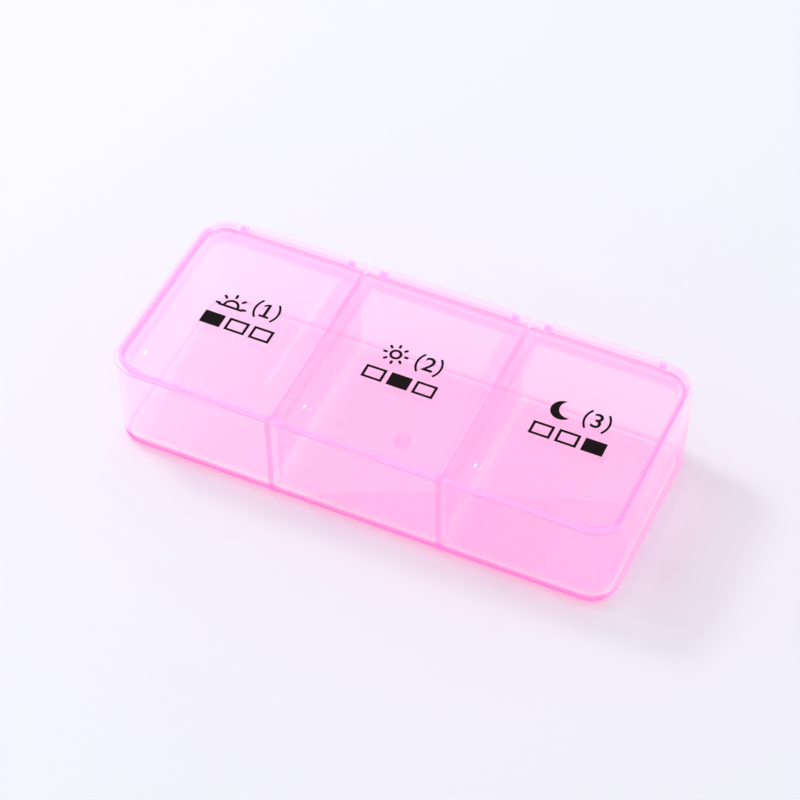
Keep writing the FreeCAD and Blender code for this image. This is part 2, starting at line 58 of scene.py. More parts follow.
TRAY_LOW, TRAY_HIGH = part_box("tray")
EAR_RISE = 0.5 * MM
RIM_TOP = TRAY_HIGH.z - EAR_RISE
PANEL_HEIGHT = 0.6 * MM
HALF_LENGTH = TRAY_HIGH.x
HALF_WIDTH = -TRAY_LOW.y
CORNER = 6.0 * MM
DIVIDER_X = (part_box("middle_lid")[1].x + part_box("right_lid")[0].x) / 2
AXIS_Y = HALF_WIDTH - 0.6 * MM
AXIS_Z = RIM_TOP - 0.45 * MM


# Shader maths

WHITE = (1.0, 1.0, 1.0, 1.0)


class Socket:
    """A value socket that adds Math nodes as Python expressions are worked out."""

    def __init__(self, graph, output):
        self.graph = graph
        self.output = output

    def math(self, operation, first, second=None):
        values = {0: first} if second is None else {0: first, 1: second}
        return self.graph.add("ShaderNodeMath", {"operation": operation}, values)

    def __add__(self, other):
        return self.math("ADD", self, other)

    __radd__ = __add__

    def __sub__(self, other):
        return self.math("SUBTRACT", self, other)

    def __rsub__(self, other):
        return self.math("SUBTRACT", other, self)

    def __mul__(self, other):
        return self.math("MULTIPLY", self, other)

    __rmul__ = __mul__

    def power(self, exponent):
        return self.math("POWER", self, exponent)

    def size(self):
        return self.math("ABSOLUTE", self)

    def most(self, other):
        return self.math("MAXIMUM", self, other)

    def reach(self, other):
        """Length of the line whose two legs these are."""
        return (self * self + other * other).power(0.5)

    def after(self, stretch):
        """0 before the stretch, 1 beyond it and a smooth step along it."""
        settings = {"interpolation_type": "SMOOTHSTEP"}
        values = {0: self, 1: stretch[0], 2: stretch[1]}
        return self.graph.add("ShaderNodeMapRange", settings, values)

    def before(self, stretch):
        """1 before the stretch, 0 beyond it."""
        return 1 - self.after(stretch)

    def within(self, rise, fall):
        """Rises along the first stretch and falls along the second."""
        return self.after(rise) * self.before(fall)


class Graph:
    """The node tree of one material."""

    def __init__(self, name):
        self.material = bpy.data.materials.new(name)
        self.material.use_nodes = True
        self.tree = self.material.node_tree
        self.tree.nodes.clear()

    def add(self, kind, settings, values, output=0):
        """One node: its settings first, then the values or links of its inputs."""
        node = self.tree.nodes.new(kind)
        for name, value in settings.items():
            setattr(node, name, value)
        for key, value in values.items():
            if isinstance(value, Socket):
                self.tree.links.new(value.output, node.inputs[key])
            else:
                node.inputs[key].default_value = value
        return Socket(self, node.outputs[output]) if node.outputs else None

    def place(self):
        return self.add("ShaderNodeTexCoord", {}, {}, "Object")

    def axes(self):
        place = self.place()
        return [self.add("ShaderNodeSeparateXYZ", {}, {0: place}, axis) for axis in "XYZ"]

    def noise(self, scale):
        values = {"Vector": self.place(), "Scale": scale}
        return self.add("ShaderNodeTexNoise", {}, values, "Fac")

    def tint(self, mask, first, second):
        """A colour that goes from first to second as the mask goes from 0 to 1."""
        settings = {"data_type": "RGBA"}
        return self.add("ShaderNodeMix", settings, {0: mask, 6: first, 7: second}, 2)

    def bump(self, height, distance, strength):
        values = {"Height": height, "Distance": distance, "Strength": strength}
        return self.add("ShaderNodeBump", {}, values)

    def mix(self, share, first, second):
        """Two shaders, with the share of the second."""
        return self.add("ShaderNodeMixShader", {}, {0: share, 1: first, 2: second})

    def finish(self, shader):
        self.add("ShaderNodeOutputMaterial", {}, {"Surface": shader})
        return self.material


def colour(value):
    return (value[0], value[1], value[2], 1.0)


# Settings

def colour_setting(name, description, default):
    return bpy.props.FloatVectorProperty(
        name=name, description=description, subtype="COLOR", size=3, min=0.0, max=1.0,
        default=default,
    )


def share_setting(name, description, default):
    return bpy.props.FloatProperty(
        name=name, description=description, subtype="FACTOR", min=0.0, max=1.0, default=default,
    )


def length_setting(name, description, default):
    return bpy.props.FloatProperty(
        name=name, description=description, unit="LENGTH", min=0.0, default=default,
    )


def angle_setting(name, description, degrees):
    return bpy.props.FloatProperty(
        name=name, description=description, subtype="ANGLE", default=math.radians(degrees),
    )


def number_setting(name, description, default):
    return bpy.props.FloatProperty(
        name=name, description=description, min=0.0, default=default,
    )


def power_setting(name, description, default):
    return bpy.props.FloatProperty(
        name=name, description=description, unit="POWER", min=0.0, default=default,
    )


class PlasticSettings(bpy.types.PropertyGroup):
    tint: colour_setting("Tint", "Colour of the milky plastic", (1.0, 0.66, 0.95))
    # Painted shade: a deeper tint towards the end away from the key lamp.
    far_tint: colour_setting(
        "Far tint", "Tint at the end away from the key lamp", (1.0, 0.60, 0.84)
    )
    rim: colour_setting("Rim tint", "Tint of the rim, seen down its wall", (1.0, 0.24, 0.30))
    deep: colour_setting("Deep tint", "Tint round the base", (1.0, 0.10, 0.20))
    # Painted light: close skins are tinted pink and made hazy to lift the shade in the narrow gap
    # at the lids' front and round the hinge pins.
    close_tint: colour_setting(
        "Close tint", "Tint where two skins lie close together", (1.0, 0.64, 0.74)
    )
    through: colour_setting("Through", "Colour of light from behind a skin", (1.0, 0.63, 0.90))
    # Painted light: the plastic shines pink by itself, though it is no lamp, which lifts its pink
    # where the lamps leave it dim.
    glow: colour_setting(
        "Glow", "Colour in which the bright dye shines back", (1.0, 0.20, 0.72)
    )
    film: colour_setting("Film", "What a skin lets through", (1.0, 0.982, 0.999))
    deep_film: colour_setting(
        "Deep film", "What the rim and the base let through", (1.0, 0.77, 0.85)
    )
    haze: share_setting("Haze", "Share of the light that a skin scatters", 0.10)
    rim_haze: share_setting("Rim haze", "The same share for the rim", 0.6)
    deep_haze: share_setting("Deep haze", "The same share round the base", 0.7)
    close_haze: share_setting("Close haze", "The same share of two close skins", 0.5)
    cloud: share_setting("Cloud", "How unevenly the haze lies in the plastic", 0.5)
    through_share: share_setting("Through share", "Haze lit from behind", 0.6)
    deep_share: share_setting("Deep share", "How much less of it is in the rim and base", 0.5)
    # Painted shade: a little deep film towards the end away from the key lamp.
    far_share: share_setting("Far share", "Deep film at the far end", 0.03)
    shine: share_setting("Shine", "Mirror share of a skin seen square on", 0.035)
    edge_shine: share_setting("Edge shine", "What it gains at a glancing angle", 0.35)
    gloss: share_setting("Roughness", "Roughness of the moulded skin", 0.22)
    grain_strength: share_setting("Grain strength", "How clearly the skin's waves show", 0.35)
    grain_depth: length_setting("Grain depth", "Depth of the skin's waves", 0.02 * MM)
    grain: number_setting("Grain", "Waves of the skin in a metre", 220.0)
    cloud_scale: number_setting("Cloud scale", "Clouds of haze in a metre", 60.0)
    glow_strength: number_setting("Glow strength", "How brightly the dye shines back", 0.75)


class PrintSettings(bpy.types.PropertyGroup):
    ink: colour_setting("Ink", "Colour of the print", (0.004, 0.001, 0.002))
    thin_ink: colour_setting("Thin ink", "Its colour where it lies thinner", (0.009, 0.004, 0.006))
    mottle: number_setting("Mottle", "Spots of thinner ink in a metre", 900.0)
    roughness: share_setting("Roughness", "Roughness of the full ink", 0.45)
    thin_roughness: share_setting("Thin roughness", "What thin ink adds to it", 0.2)
    shine: share_setting("Shine", "Gloss of the ink", 0.06)
    stroke: length_setting("Stroke", "Width of a printed line", 0.52 * MM)
    film: length_setting("Ink film", "Thickness of the print", 0.03 * MM)
    line_height: length_setting("Line height", "Height of a sign and the brackets", 4.5 * MM)
    figure_height: length_setting("Figure height", "Height of a number", 3.5 * MM)
    bracket_gap: length_setting("Bracket gap", "From a number's middle to a bracket", 2.35 * MM)
    line_step: length_setting("Line step", "From the middle of a line to the next", 5.75 * MM)
    shift: length_setting("Shift", "Print's middle right of the lid's middle", 0.9 * MM)
    drop: length_setting("Drop", "Print's middle in front of the tray's middle", 0.45 * MM)
    sign_step: length_setting("Sign step", "From the sign's middle to the number's", 6.6 * MM)
    box_width: length_setting("Box width", "Width of one of the three boxes", 4.1 * MM)
    box_height: length_setting("Box height", "Height of one of the three boxes", 3.1 * MM)
    box_step: length_setting("Box step", "From one box to the next", 5.0 * MM)


class StageSettings(bpy.types.PropertyGroup):
    floor: colour_setting("Floor", "Colour of the floor", (0.76, 0.76, 0.825))
    room_light: number_setting("Room light", "Brightness of the room all round", 0.95)
    key_power: power_setting("Key power", "Power of the lamp above the left end", 2.95)
    key_size: length_setting("Key size", "Width of that lamp", 0.24)
    edge_power: power_setting("Edge power", "Power of the lamp behind the right end", 0.3)
    edge_size: length_setting("Edge size", "Width of that lamp", 0.16)
    glint_power: power_setting("Glint power", "Power of the low lamp at the left", 2.2)
    glint_size: length_setting("Glint size", "Width of that lamp", 0.12)
    aim: bpy.props.FloatVectorProperty(
        name="Aim", description="Point that the camera looks at", subtype="TRANSLATION", size=3,
        unit="LENGTH", default=(-1.46 * MM, 2.17 * MM, 8.93 * MM),
    )
    yaw: angle_setting("Yaw", "Camera's turn about the upright from the front", 24.55)
    pitch: angle_setting("Pitch", "Camera's angle above the horizon", 48.10)
    distance: length_setting("Distance", "From the camera to its aim", 0.513)
    lens: bpy.props.FloatProperty(
        name="Lens", description="Focal length on a 36 mm sensor", unit="CAMERA", default=125.2,
    )


# Stretches of the moulding: each is where a change of the plastic, or of a painted shade or light,
# starts and where it is done

def stretch(start, end, origin=0.0):
    """Two distances from an origin, given in millimetres."""
    return origin + start * MM, origin + end * MM


# Along the tray, seen from the middle
# Painted shade on the floor grows along this stretch.
FLOOR_SHADE_DEEPENS = (-HALF_LENGTH, 15.0 * MM)
WHOLE_LENGTH = (-HALF_LENGTH, HALF_LENGTH)
TRAY_LEFT = stretch(4.0, 9.0, -HALF_LENGTH)
TRAY_RIGHT = stretch(-9.0, -4.0, HALF_LENGTH)
LID_LEFT = stretch(6.0, 8.0, -HALF_LENGTH)
LID_RIGHT = stretch(-8.0, -6.0, HALF_LENGTH)
BASE_LEFT = stretch(0.5, 3.5, -HALF_LENGTH)
BASE_RIGHT = stretch(-2.5, -0.8, HALF_LENGTH)
END_WALL = stretch(-1.6, -1.0, HALF_LENGTH)
DIVIDER_EDGE = stretch(0.35, 0.8)
SEAM_EDGE = stretch(0.4, 0.7)
SEAM_SHADE = stretch(2.5, 4.2)

# Across the tray, from its middle, its front, its back or the hinge axis
FRONT = stretch(3.0, 5.0, -HALF_WIDTH)
BACK = stretch(-4.0, -2.5, HALF_WIDTH)
SEAM_STARTS = stretch(-5.0, 10.0)
VALLEY = stretch(-6.0, -2.5, AXIS_Y)
HINGE_LINE = stretch(-2.35, -2.1, AXIS_Y)
HINGE_LINE_ENDS = stretch(-1.2, -1.0, AXIS_Y)
BARREL = stretch(-0.7, -0.5, AXIS_Y)
TURN_Y = CORNER + 1.2 * MM - HALF_WIDTH
TURN_EDGE = stretch(0.2, 0.8)

# Upwards, from the base or from the top of the rim
FLOOR_TOP = stretch(1.2, 1.8)
BASE_TOP = stretch(2.0, 3.0)
WHOLE_WALL = (0.0, RIM_TOP)
END_WALL_FOOT = stretch(1.0, 8.0)
END_WALL_HEAD = stretch(-9.0, -3.0, RIM_TOP)
TURN_FOOT = stretch(1.5, 4.0)
TURN_HEAD = stretch(-6.0, -3.0, RIM_TOP)
END_RIM = stretch(-1.4, -1.1, RIM_TOP)
BACK_RIM = stretch(-0.5, -0.2, RIM_TOP)
BACK_RIM_ENDS = stretch(0.0, 0.15, RIM_TOP)
BRIM = stretch(-0.55, -0.4, RIM_TOP)
BRIM_ENDS = stretch(-0.15, 0.0, RIM_TOP)
LID_UPPER = stretch(-0.7, -0.4, RIM_TOP)
TRAY_CREASE = stretch(-1.3, -1.2, RIM_TOP)
LID_CREASE = stretch(-1.2, -1.1, RIM_TOP)

# Inwards from the rim's outer edge
BRINK = stretch(0.65, 0.9)
BRINK_ENDS = stretch(1.5, 1.7)
LID_GAP_SHADE = stretch(1.75, 2.1)
BASE_WALL = stretch(1.5, 1.7)
ROOM = stretch(2.0, 3.0)
TURN_SKIN = stretch(1.2, 1.4)
TURN_SKIN_ENDS = stretch(2.4, 2.7)
TRAY_CREASE_SKIN = stretch(1.1, 1.15)
TRAY_CREASE_ENDS = stretch(1.4, 1.5)
LID_CREASE_SKIN = stretch(0.9, 1.1)
LID_CREASE_ENDS = stretch(1.4, 1.55)

# Away from the hinge axis and from the gate mark's middle
PIN = stretch(0.6, 0.8)
GATE = stretch(1.3, 1.9)
GATE_HOLLOW = stretch(0.0, 1.3)

# How full or close the plastic is at its fullest there, or how deep a painted shade is, as a share
RIGHT_RIM_SHARE = 0.76
LEFT_RIM_SHARE = 0.8
BACK_RIM_SHARE = 0.5
BRIM_SHADE_SHARE = 0.85
FLOOR_SHARE = 0.16
FAR_FLOOR_SHADE_SHARE = 0.22
GATE_SHARE = 0.6
GATE_MIDDLE = 0.4
LOW_WALL_SHADE_SHARE = 0.03
TURN_SHARE = 0.6
END_WALL_SHARE = 0.55
BASE_BACK_LOSS = 0.6
BASE_RIGHT_LOSS = 0.5
VALLEY_SHARE = 0.5
SEAM_SHADE_SHARE = 0.5
LID_RIGHT_SHADE_SHARE = 0.8
LID_LEFT_SHADE_SHARE = 0.7
PIN_SHARE = 0.55


# The plastic

# How steeply the mirror share grows towards a glancing angle
GLANCE = 4.0


def milky_plastic(name, settings, masks):
    """Pink see-through polypropylene with a soft milky haze, fuller where it is thick.

    The masks tell where the material is as full as in the rim, where it is as deep as round the
    base, and where two skins lie close together. The first also holds painted shade, and the last
    painted light that lifts the shade of narrow gaps; the pink the plastic gives off by itself is
    painted light as well.
    """
    graph = Graph(name)
    # rim also holds painted shade at the lid ends, beside seams, along the front edge and away from
    # the key lamp.
    rim, base, close = masks(graph)
    # Painted shade: towards the end away from the key lamp the tint deepens and the film lets less
    # through.
    far = far_end(graph)
    deep = rim.most(base) * (1 - close)

    tint = graph.tint(far, colour(settings.tint), colour(settings.far_tint))
    tint = graph.tint(rim, tint, colour(settings.rim))
    tint = graph.tint(base, tint, colour(settings.deep))
    tint = graph.tint(close, tint, colour(settings.close_tint))
    # The body shines pink by itself: painted light, though the plastic is no lamp.
    body = graph.add(
        "ShaderNodeBsdfPrincipled", {},
        {
            "Base Color": tint, "Roughness": settings.gloss, "Specular IOR Level": 0.0,
            "Emission Color": colour(settings.glow), "Emission Strength": settings.glow_strength,
        },
    )
    through = graph.add("ShaderNodeBsdfTranslucent", {}, {"Color": colour(settings.through)})
    milk = graph.mix(settings.through_share - deep * settings.deep_share, body, through)

    film = graph.add("ShaderNodeBsdfTransparent", {}, {"Color": colour(settings.film)})
    deep_film = graph.add("ShaderNodeBsdfTransparent", {}, {"Color": colour(settings.deep_film)})
    clear = graph.mix(deep.most(far * settings.far_share), film, deep_film)

    haze = rim * (settings.rim_haze - settings.haze) + settings.haze
    haze = haze + base * (settings.deep_haze - settings.haze)
    haze = haze * (1 - close) + close * settings.close_haze
    haze = haze * (graph.noise(settings.cloud_scale) * settings.cloud + 1 - settings.cloud / 2)
    wall = graph.mix(haze, clear, milk)

    waves = graph.noise(settings.grain)
    skin = graph.bump(waves, settings.grain_depth, settings.grain_strength)
    shine = graph.add(
        "ShaderNodeBsdfGlossy", {},
        {"Color": WHITE, "Roughness": settings.gloss, "Normal": skin},
    )
    facing = graph.add("ShaderNodeLayerWeight", {}, {}, "Facing")
    share = facing.power(GLANCE) * settings.edge_shine + settings.shine
    # The mirror share is cut round the base, which paints a soft contact shade there, and in close
    # skins, where it would show dark.
    return graph.finish(graph.mix(share * (1 - base) * (1 - close), wall, shine))


def around_axis(along, height):
    """The hinge pins and their holes."""
    return (along - AXIS_Y).reach(height - AXIS_Z).before(PIN) * PIN_SHARE


def inset(across, along):
    """How far inside the rim's outer edge, round its corners as well."""
    beyond_x = (across.size() - (HALF_LENGTH - CORNER)).most(0.0)
    beyond_y = (along.size() - (HALF_WIDTH - CORNER)).most(0.0)
    return CORNER - beyond_x.reach(beyond_y)


def far_end(graph):
    """Painted shade that rises from the end near the key lamp to the far one."""
    return graph.axes()[0].after(WHOLE_LENGTH)


def tray_masks(graph):
    """Where light has far to go inside the tray: rim, divider ends, floor, and the base's edge;
    with painted shade at the rim's edges and away from the key lamp, and painted light in the
    narrow gap at the front.
    """
    across, along, height = graph.axes()
    outside = 1 - graph.add("ShaderNodeNewGeometry", {}, {}, "Backfacing")
    inwards = inset(across, along)
    left = across.before(TRAY_LEFT)
    right = across.after(TRAY_RIGHT)
    front = along.before(FRONT)
    back = along.after(BACK)

    ends = (right * RIGHT_RIM_SHARE).most(left * LEFT_RIM_SHARE)
    end_rim = height.after(END_RIM) * ends * (1 - back)
    back_rim = height.within(BACK_RIM, BACK_RIM_ENDS) * back * BACK_RIM_SHARE
    # At the ends the band is the plastic seen down the wall, and at its inner edge painted shade of
    # the gap to the lid.
    full = inwards.within(BRINK, BRINK_ENDS) * end_rim.most(back_rim)

    # Painted shade: a thin darker line along the front wall's rounded top edge, where the rounding
    # bends the light.
    brim_shade = height.within(BRIM, BRIM_ENDS) * BRIM_SHADE_SHARE
    divider = (across.size() - DIVIDER_X).size().before(DIVIDER_EDGE)
    full = full.most(brim_shade.most(divider) * front * outside)

    floor = height.before(FLOOR_TOP) * inwards.after(ROOM)
    from_gate = across.reach(along)
    gate = from_gate.before(GATE) * (from_gate.after(GATE_HOLLOW) + GATE_MIDDLE)
    # The floor is fuller all over. Its rise towards the far end is painted shade away from the key
    # lamp.
    floor_share = across.after(FLOOR_SHADE_DEEPENS) * FAR_FLOOR_SHADE_SHARE + FLOOR_SHARE
    full = full.most(floor * floor_share).most(gate * floor * GATE_SHARE)

    # Painted shade: the outer walls deepen a little towards their foot and towards the end away
    # from the key lamp.
    low_wall_shade = height.before(WHOLE_WALL) * far_end(graph) * (1 - back) * outside
    turn = (along - TURN_Y).size().before(TURN_EDGE) * height.within(TURN_FOOT, TURN_HEAD)
    turn = turn * right * inwards.within(TURN_SKIN, TURN_SKIN_ENDS)
    end_wall = across.after(END_WALL) * height.within(END_WALL_FOOT, END_WALL_HEAD) * outside
    full = full.most(low_wall_shade * LOW_WALL_SHADE_SHARE).most(turn * TURN_SHARE)
    full = full.most(end_wall * END_WALL_SHARE)

    base = height.before(BASE_TOP) * inwards.before(BASE_WALL) * outside
    base = base * (1 - back * BASE_BACK_LOSS) * across.after(BASE_LEFT)
    base = base * (1 - across.after(BASE_RIGHT) * BASE_RIGHT_LOSS)

    # Painted light: the narrow gap by the lids' front is made pink and hazy to lift the shade in
    # it.
    crease = inwards.within(TRAY_CREASE_SKIN, TRAY_CREASE_ENDS)
    crease = crease * height.after(TRAY_CREASE) * front
    return full, base, around_axis(along, height).most(crease)


def lid_masks(graph):
    """Where a lid is full, at the hinge and in the valley before it, and where shade is painted: at
    its ends, by the gap to the rim, and beside a seam, over a divider.
    """
    across, along, height = graph.axes()
    inwards = inset(across, along)
    line = along.within(HINGE_LINE, HINGE_LINE_ENDS)
    valley = along.within(VALLEY, BARREL) * VALLEY_SHARE
    # Painted shade beside a seam: a thin dark line at the gap between two lids and a band over the
    # divider's shade.
    from_divider = (across.size() - DIVIDER_X).size()
    seam = (from_divider.before(SEAM_SHADE) * SEAM_SHADE_SHARE).most(from_divider.before(SEAM_EDGE))
    seam = seam * along.after(SEAM_STARTS)
    full = line.most(valley).most(seam) * height.after(LID_UPPER)

    # Painted shade at the lid's ends, along the gap between the lid and the rim.
    right = across.after(LID_RIGHT) * LID_RIGHT_SHADE_SHARE
    left = across.before(LID_LEFT) * LID_LEFT_SHADE_SHARE
    full = full.most(inwards.before(LID_GAP_SHADE) * right.most(left))

    # Painted light: the same narrow gap on the lid, and the hinge pins, are lifted out of their
    # shade.
    crease = inwards.within(LID_CREASE_SKIN, LID_CREASE_ENDS)
    crease = crease * height.after(LID_CREASE) * along.before(FRONT)
    return full, 0.0, around_axis(along, height).most(crease)


def put_on(node, material):
    """Give a moulding its only material."""
    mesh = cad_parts[node].data
    mesh.materials.clear()
    mesh.materials.append(material)


class PILLBOX_OT_finish_plastic(bpy.types.Operator):
    """Give the tray and the lids their milky pink plastic"""

    bl_idname = "pillbox.finish_plastic"
    bl_label = "Finish the Plastic"

    def execute(self, context):
        settings = context.scene.pillbox_plastic
        put_on("tray", milky_plastic("tray_plastic", settings, tray_masks))
        lid_plastic = milky_plastic("lid_plastic", settings, lid_masks)
        for lid in LIDS:
            put_on(lid, lid_plastic)
        return {"FINISHED"}


# The print on the lids

FULL_TURN = 2 * math.pi
ARC_STEPS = 32
END_STEPS = 5
FIGURE_STEPS = 8
CURVE_TOLERANCE = 0.01
WELD_SHARE = 0.001
SUNK_SHARE = 1 / 3

# Shares of the stroke
ROUND_END = 0.45
ONE_UPRIGHT = 0.55
BRACKET_STROKE = 0.85

# Shares of a sign's height
HORIZON_DROP = 0.36
HORIZON_LENGTH = 1.12
RISING_RADIUS = 0.30
RISING_RAY_START = 0.46
RISING_RAY = 0.24
HIGH_RADIUS = 0.21
HIGH_RAY_START = 0.36
HIGH_RAY = 0.20
MOON_RADIUS = 0.5

# Rays of the suns
RAY_STEP = math.pi / 4
RISING_RAYS = 5
HIGH_RAYS = 8

# The moon: half the angle between its horns, its bite as a share of its radius, and its lean
MOON_HORN = math.radians(62)
MOON_BITE = 0.62
MOON_LEAN = 0.45

# Shares of the height of a number or its brackets
ONE_FOOT = 0.28
ONE_FLAG = 0.14
BRACKET_RADIUS = 0.8

# A number's height, and what its outline gains, as shares of its type size
CAP_HEIGHT = 0.73
FIGURE_WEIGHT = 0.012


def add_sheet(shape, across, along):
    """A flat sheet about the origin, as its new vertices."""
    made = bmesh.ops.create_grid(shape, x_segments=1, y_segments=1, size=0.5)["verts"]
    bmesh.ops.scale(shape, verts=made, vec=(across, along, 1.0))
    return made


def add_bar(shape, centre, across, along, round_end=0.0, turn=0.0):
    """A flat bar, turned about its middle, with its corners rounded."""
    made = add_sheet(shape, across, along)
    bmesh.ops.rotate(shape, verts=made, cent=(0, 0, 0), matrix=Matrix.Rotation(turn, 3, "Z"))
    bmesh.ops.translate(shape, verts=made, vec=(*centre, 0))
    if round_end:
        bmesh.ops.bevel(
            shape, geom=made, offset=round_end, offset_type="OFFSET", segments=END_STEPS,
            profile=0.5, affect="VERTICES", material=-1,
        )


def add_box_outline(shape, centre, across, along, stroke):
    """An open box, drawn with one stroke all round."""
    made = add_sheet(shape, across, along)
    bmesh.ops.translate(shape, verts=made, vec=(*centre, 0))
    faces = list({face for vertex in made for face in vertex.link_faces})
    bmesh.ops.inset_region(
        shape, faces=faces, thickness=stroke, use_boundary=True, use_even_offset=True
    )
    bmesh.ops.delete(shape, geom=faces, context="FACES_ONLY")


def add_arc_band(shape, centre, radius, stroke, start, angle):
    """A band that follows an arc about the centre."""
    reach = Vector((math.cos(start), math.sin(start), 0))
    inner = shape.verts.new(Vector((*centre, 0)) + reach * (radius - stroke / 2))
    outer = shape.verts.new(Vector((*centre, 0)) + reach * (radius + stroke / 2))
    edge = shape.edges.new((inner, outer))
    closed = angle == FULL_TURN
    bmesh.ops.spin(
        shape, geom=[inner, outer, edge], cent=(*centre, 0), axis=(0, 0, 1), angle=angle,
        steps=2 * ARC_STEPS if closed else ARC_STEPS, use_merge=closed, use_duplicate=False,
    )


def add_rays(shape, centre, start_radius, length, stroke, count):
    """Short bars that point away from the centre, the first one to the right."""
    for index in range(count):
        angle = index * RAY_STEP
        reach = start_radius + length / 2
        place = (centre[0] + math.cos(angle) * reach, centre[1] + math.sin(angle) * reach)
        add_bar(shape, place, length, stroke, stroke * ROUND_END, angle)


def add_crescent(shape, centre, radius):
    """A moon: a wide arc closed by a flatter one from horn to horn."""
    horn = Vector((math.cos(MOON_HORN), math.sin(MOON_HORN), 0)) * radius
    for middle in (Vector(), Vector((MOON_BITE * radius, 0, 0))):
        first = shape.verts.new(horn)
        side = horn - middle
        bmesh.ops.spin(
            shape, geom=[first], cent=middle, axis=(0, 0, 1),
            angle=FULL_TURN - 2 * math.atan2(side.y, side.x), steps=ARC_STEPS,
            use_duplicate=False,
        )
    loose = [vertex for vertex in shape.verts if not vertex.link_faces]
    bmesh.ops.remove_doubles(shape, verts=loose, dist=radius * WELD_SHARE)
    loose = [vertex for vertex in shape.verts if not vertex.link_faces]
    edges = list({edge for vertex in loose for edge in vertex.link_edges})
    bmesh.ops.contextual_create(shape, geom=edges)
    lean = Matrix.Rotation(MOON_LEAN, 3, "Z")
    bmesh.ops.rotate(shape, verts=loose, cent=(0, 0, 0), matrix=lean)
    bmesh.ops.translate(shape, verts=loose, vec=(*centre, 0))


def add_one(shape, centre, height, stroke):
    """The number one: an upright with a flag and a foot."""
    half = stroke * ONE_UPRIGHT
    foot = height * ONE_FOOT
    top = height / 2
    sole = stroke - top
    flag = top - height * ONE_FLAG
    outline = (
        (-foot, -top), (foot, -top), (foot, sole), (half, sole), (half, top), (-half, top),
        (-foot, flag), (-foot, flag - stroke), (-half, top - stroke),
        (-half, sole), (-foot, sole),
    )
    shape.faces.new([
        shape.verts.new((centre[0] + across, centre[1] + along, 0)) for across, along in outline
    ])


def add_number(shape, centre, number, height):
    """A plain number, as a flat outline."""
    text = bpy.data.curves.new("number", "FONT")
    text.body = str(number)
    text.align_x = "CENTER"
    text.align_y = "CENTER"
    text.size = height / CAP_HEIGHT
    text.offset = FIGURE_WEIGHT * text.size
    text.resolution_u = FIGURE_STEPS
    holder = bpy.data.objects.new("number", text)
    mesh = bpy.data.meshes.new_from_object(holder)
    mesh.transform(Matrix.Translation((*centre, 0)))
    shape.from_mesh(mesh)
    bpy.data.objects.remove(holder)
    bpy.data.curves.remove(text)
    bpy.data.meshes.remove(mesh)


def add_brackets(shape, centre, gap, height, stroke):
    """Round brackets on both sides of a number."""
    radius = height * BRACKET_RADIUS
    half = math.asin(height / 2 / radius)
    for side, start in ((-1, math.pi - half), (1, -half)):
        middle = (centre[0] + side * (gap - radius), centre[1])
        add_arc_band(shape, middle, radius, stroke * BRACKET_STROKE, start, 2 * half)


def add_sign(shape, hour, centre, height, stroke):
    """The rising sun, the high sun or the moon."""
    if hour == "sunrise":
        low = (centre[0], centre[1] - height * HORIZON_DROP)
        line = (low[0], low[1] - stroke / 2)
        add_bar(shape, line, height * HORIZON_LENGTH, stroke, stroke * ROUND_END)
        add_arc_band(shape, low, height * RISING_RADIUS, stroke, 0.0, math.pi)
        start = height * RISING_RAY_START
        add_rays(shape, low, start, height * RISING_RAY, stroke, RISING_RAYS)
    elif hour == "noon":
        add_arc_band(shape, centre, height * HIGH_RADIUS, stroke, 0.0, FULL_TURN)
        start = height * HIGH_RAY_START
        add_rays(shape, centre, start, height * HIGH_RAY, stroke, HIGH_RAYS)
    else:
        add_crescent(shape, centre, height * MOON_RADIUS)


def draw_marks(shape, hour, number, settings):
    """Sign and number above a row of three boxes, one of them full, flat about the origin."""
    stroke = settings.stroke
    upper = settings.line_step / 2
    add_sign(shape, hour, (-settings.sign_step / 2, upper), settings.line_height, stroke)
    figure = (settings.sign_step / 2, upper)
    if number == 1:
        add_one(shape, figure, settings.figure_height, stroke)
    else:
        add_number(shape, figure, number, settings.figure_height)
    add_brackets(shape, figure, settings.bracket_gap, settings.line_height, stroke)
    for place in range(len(LIDS)):
        middle = ((place - 1) * settings.box_step, -upper)
        if place == number - 1:
            add_bar(shape, middle, settings.box_width, settings.box_height)
        else:
            add_box_outline(shape, middle, settings.box_width, settings.box_height, stroke)


def print_marks(lid, number, settings):
    """The marks of one lid, as one thin closed film of ink that reaches into its panel."""
    shape = bmesh.new()
    draw_marks(shape, HOURS[lid], number, settings)
    bmesh.ops.dissolve_limit(
        shape, angle_limit=CURVE_TOLERANCE, verts=shape.verts, edges=shape.edges,
        use_dissolve_boundaries=False,
    )
    raised = bmesh.ops.extrude_face_region(shape, geom=shape.faces[:])["geom"]
    lifted = [item for item in raised if isinstance(item, bmesh.types.BMVert)]
    bmesh.ops.translate(shape, verts=lifted, vec=(0, 0, settings.film))
    low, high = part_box(lid)
    bottom = RIM_TOP + PANEL_HEIGHT - settings.film * SUNK_SHARE
    middle = Vector(((low.x + high.x) / 2 + settings.shift, -settings.drop, bottom))
    bmesh.ops.translate(shape, verts=shape.verts, vec=middle)
    bmesh.ops.recalc_face_normals(shape, faces=shape.faces)
    return add_piece(lid.replace("_lid", "_print"), shape)


def add_piece(name, shape):
    """A new object in the scene with the finished shape as its mesh."""
    mesh = bpy.data.meshes.new(name)
    shape.to_mesh(mesh)
    shape.free()
    piece = bpy.data.objects.new(name, mesh)
    bpy.context.scene.collection.objects.link(piece)
    return piece


def print_ink(settings):
    """Near-black ink with a faint mottle in its gloss."""
    graph = Graph("print_ink")
    mottle = graph.noise(settings.mottle)
    return graph.finish(graph.add(
        "ShaderNodeBsdfPrincipled", {},
        {
            "Base Color": graph.tint(mottle, colour(settings.ink), colour(settings.thin_ink)),
            "Roughness": mottle * settings.thin_roughness + settings.roughness,
            "Specular IOR Level": settings.shine,
        },
    ))


